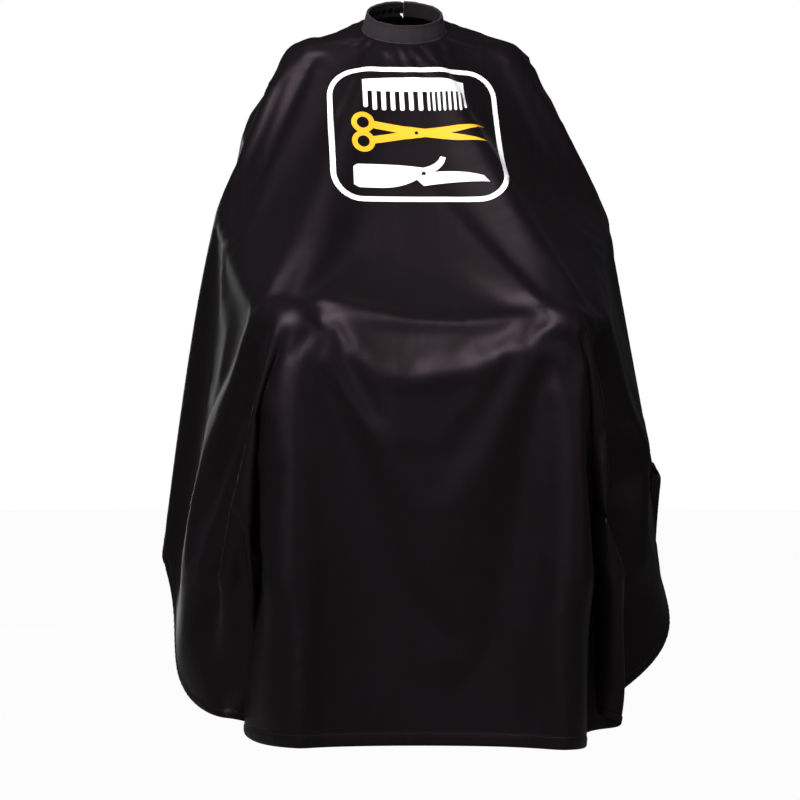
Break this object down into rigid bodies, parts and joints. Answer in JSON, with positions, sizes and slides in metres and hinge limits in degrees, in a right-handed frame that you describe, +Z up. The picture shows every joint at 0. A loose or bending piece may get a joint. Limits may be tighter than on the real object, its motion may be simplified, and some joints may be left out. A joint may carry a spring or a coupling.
{
  "type": "barber cape",
  "caption": "Barber cape draped as on a seated client, with a stiffened neckband, a back snap strap, hemmed edges and a chest badge.",
  "frame": {"origin": "centre of the neckband's base ring", "axes": "+Z up, the wearer faces -Y, +X is to the right as seen from the front"},
  "size_m": [0.877, 0.7933, 1.1414],
  "materials": {
    "satin_cloth": "satin weave polyester",
    "band_cloth": "plain weave, double layer",
    "stiffener": "non-woven interfacing",
    "black_metal": "black lacquered snap",
    "white_ink": "heat-pressed vinyl",
    "yellow_ink": "heat-pressed vinyl"
  },
  "bodies": {
    "cape": {"cape_panel": "satin_cloth", "left_back_hem": "satin_cloth", "left_side_hem": "satin_cloth", "front_hem": "satin_cloth", "right_side_hem": "satin_cloth", "right_back_hem": "satin_cloth", "left_opening_hem": "satin_cloth", "right_opening_hem": "satin_cloth", "neckband_outer": "band_cloth", "neckband_stiffener": "stiffener", "neckband_lining": "band_cloth", "root_lining": "band_cloth", "root_outer": "band_cloth", "snap_stud_1": "black_metal", "snap_stud_2": "black_metal", "snap_stud_3": "black_metal", "snap_stud_4": "black_metal", "snap_stud_5": "black_metal", "snap_stud_6": "black_metal", "stud_washer_1": "black_metal", "stud_washer_2": "black_metal", "stud_washer_3": "black_metal", "stud_washer_4": "black_metal", "stud_washer_5": "black_metal", "stud_washer_6": "black_metal", "badge_frame": "white_ink", "badge_comb": "white_ink", "badge_scissors": "yellow_ink", "badge_razor": "white_ink"},
    "closure_strap": {"strap_lining": "band_cloth", "strap_outer": "band_cloth", "snap_socket_1": "black_metal", "snap_cap_1": "black_metal", "snap_socket_2": "black_metal", "snap_cap_2": "black_metal"}
  },
  "joints": [
    {"name": "strap_fold", "type": "hinge", "parent": "cape", "child": "closure_strap", "pos_m": [0.00345, 0.05011, 0.04466], "axis": [-0.0136, -0.7076, 0.7064], "range_deg": [-100, 0]}
  ]
}
